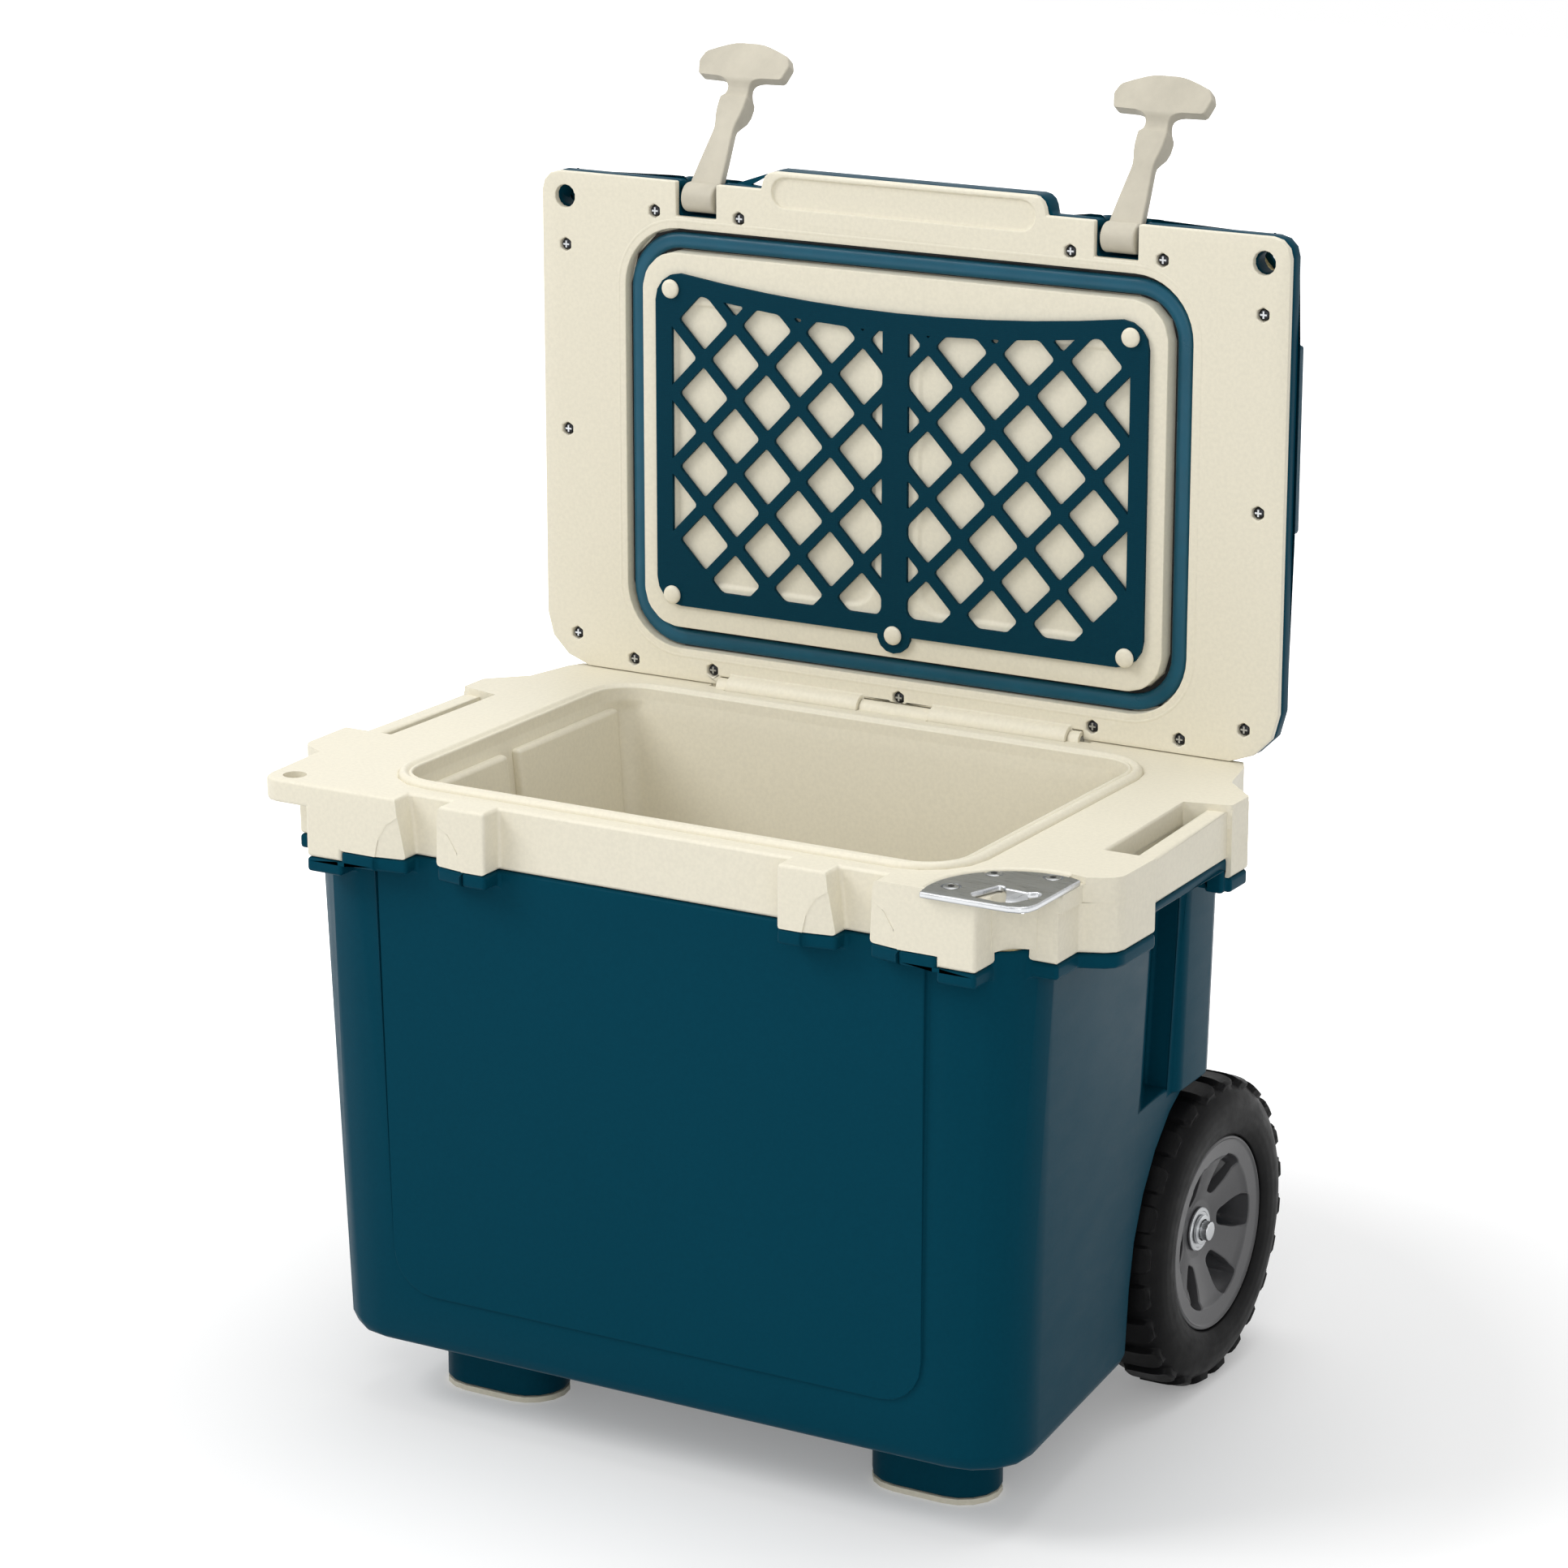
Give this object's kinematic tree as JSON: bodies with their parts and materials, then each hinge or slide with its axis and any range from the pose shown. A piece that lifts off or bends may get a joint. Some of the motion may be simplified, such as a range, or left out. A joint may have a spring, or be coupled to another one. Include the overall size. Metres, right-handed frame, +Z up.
{
  "type": "wheeled cooler",
  "caption": "Wheeled insulated cooler with open hinged lid, rubber T latches, cargo net, corner opener and pull handle.",
  "frame": {"origin": "on the ground under the middle of the bounding box of the open cooler", "axes": "+X to the right, +Y to the back where the wheels are, +Z up; the front with the latch gaps faces -Y"},
  "size_m": [0.536, 0.4119, 0.7728],
  "materials": {
    "teal_plastic": "satin moulded plastic",
    "cream_plastic": "satin moulded plastic",
    "cream_rubber": "satin moulded rubber",
    "black_rubber": "matte",
    "tyre_rubber": "matte",
    "teal_rubber": "satin",
    "teal_webbing": "matte webbing",
    "foam": "closed cell foam",
    "grey_nylon": "satin",
    "steel": "brushed",
    "dark_steel": "blackened"
  },
  "bodies": {
    "tub": {"outer_shell": "teal_plastic", "rim_frame": "cream_plastic", "inner_liner": "cream_plastic", "foam_core": "foam", "hinge_rod": "steel", "axle": "steel", "foot_pad_left": "cream_plastic", "foot_pad_right": "cream_plastic", "bottle_opener": "steel", "opener_screw_1": "steel", "opener_screw_2": "steel", "opener_screw_3": "steel", "drain_spout": "cream_plastic", "axle_washer_left": "steel", "axle_clip_left": "steel", "axle_washer_right": "steel", "axle_clip_right": "steel", "handle_bracket": "grey_nylon", "handle_guide_left": "steel", "handle_guide_right": "steel"},
    "lid": {"lid_shell": "teal_plastic", "lid_liner": "cream_plastic", "lid_foam": "foam", "gasket_carrier": "black_rubber", "lid_gasket": "teal_rubber", "cargo_net": "teal_webbing", "net_button_1": "cream_plastic", "net_button_2": "cream_plastic", "net_button_3": "cream_plastic", "net_button_4": "cream_plastic", "net_button_5": "cream_plastic", "lid_screw_01": "dark_steel", "lid_screw_02": "dark_steel", "lid_screw_03": "dark_steel", "lid_screw_04": "dark_steel", "lid_screw_05": "dark_steel", "lid_screw_06": "dark_steel", "lid_screw_07": "dark_steel", "lid_screw_08": "dark_steel", "lid_screw_09": "dark_steel", "lid_screw_10": "dark_steel", "lid_screw_11": "dark_steel", "lid_screw_12": "dark_steel", "lid_screw_13": "dark_steel", "lid_screw_14": "dark_steel", "lid_screw_15": "dark_steel", "latch_pin_left": "steel", "latch_pin_right": "steel"},
    "left_latch": {"latch_left": "cream_rubber"},
    "right_latch": {"latch_right": "cream_rubber"},
    "left_wheel": {"tyre_left": "tyre_rubber", "wheel_left": "grey_nylon"},
    "right_wheel": {"tyre_right": "tyre_rubber", "wheel_right": "grey_nylon"},
    "handle_middle_stage": {"handle_tube_left": "steel", "handle_tube_right": "steel"},
    "handle_top_stage": {"handle_loop": "steel", "handle_grip": "grey_nylon"},
    "release_button": {"handle_button": "grey_nylon"},
    "drain_plug": {"drain_cap": "teal_plastic"}
  },
  "joints": [
    {"name": "lid_hinge", "type": "hinge", "parent": "tub", "child": "lid", "pos_m": [0, 0.107, 0.388], "axis": [1, 0, 0], "range_deg": [0, 90]},
    {"name": "left_latch_hinge", "type": "hinge", "parent": "lid", "child": "left_latch", "pos_m": [-0.1405, 0.1163, 0.687], "axis": [1, 0, 0], "range_deg": [-5, 125]},
    {"name": "right_latch_hinge", "type": "hinge", "parent": "lid", "child": "right_latch", "pos_m": [0.1405, 0.1163, 0.687], "axis": [1, 0, 0], "range_deg": [-5, 125]},
    {"name": "left_wheel_spin", "type": "hinge", "parent": "tub", "child": "left_wheel", "pos_m": [-0.197, 0.111, 0.095], "axis": [1, 0, 0], "continuous": true},
    {"name": "right_wheel_spin", "type": "hinge", "parent": "tub", "child": "right_wheel", "pos_m": [0.197, 0.111, 0.095], "axis": [1, 0, 0], "continuous": true},
    {"name": "handle_middle_slide", "type": "slide", "parent": "tub", "child": "handle_middle_stage", "axis": [0, 0, 1], "range_m": [0, 0.24]},
    {"name": "handle_top_slide", "type": "slide", "parent": "handle_middle_stage", "child": "handle_top_stage", "axis": [0, 0, 1], "range_m": [0, 0.24]},
    {"name": "release_button_press", "type": "slide", "parent": "handle_top_stage", "child": "release_button", "axis": [0, 0, -1], "range_m": [0, 0.003], "stiffness_N_per_m": 400},
    {"name": "drain_cap_twist", "type": "hinge", "parent": "tub", "child": "drain_plug", "pos_m": [-0.235, -0.083, 0.0953], "axis": [-1, 0, 0], "range_deg": [0, 270]}
  ]
}
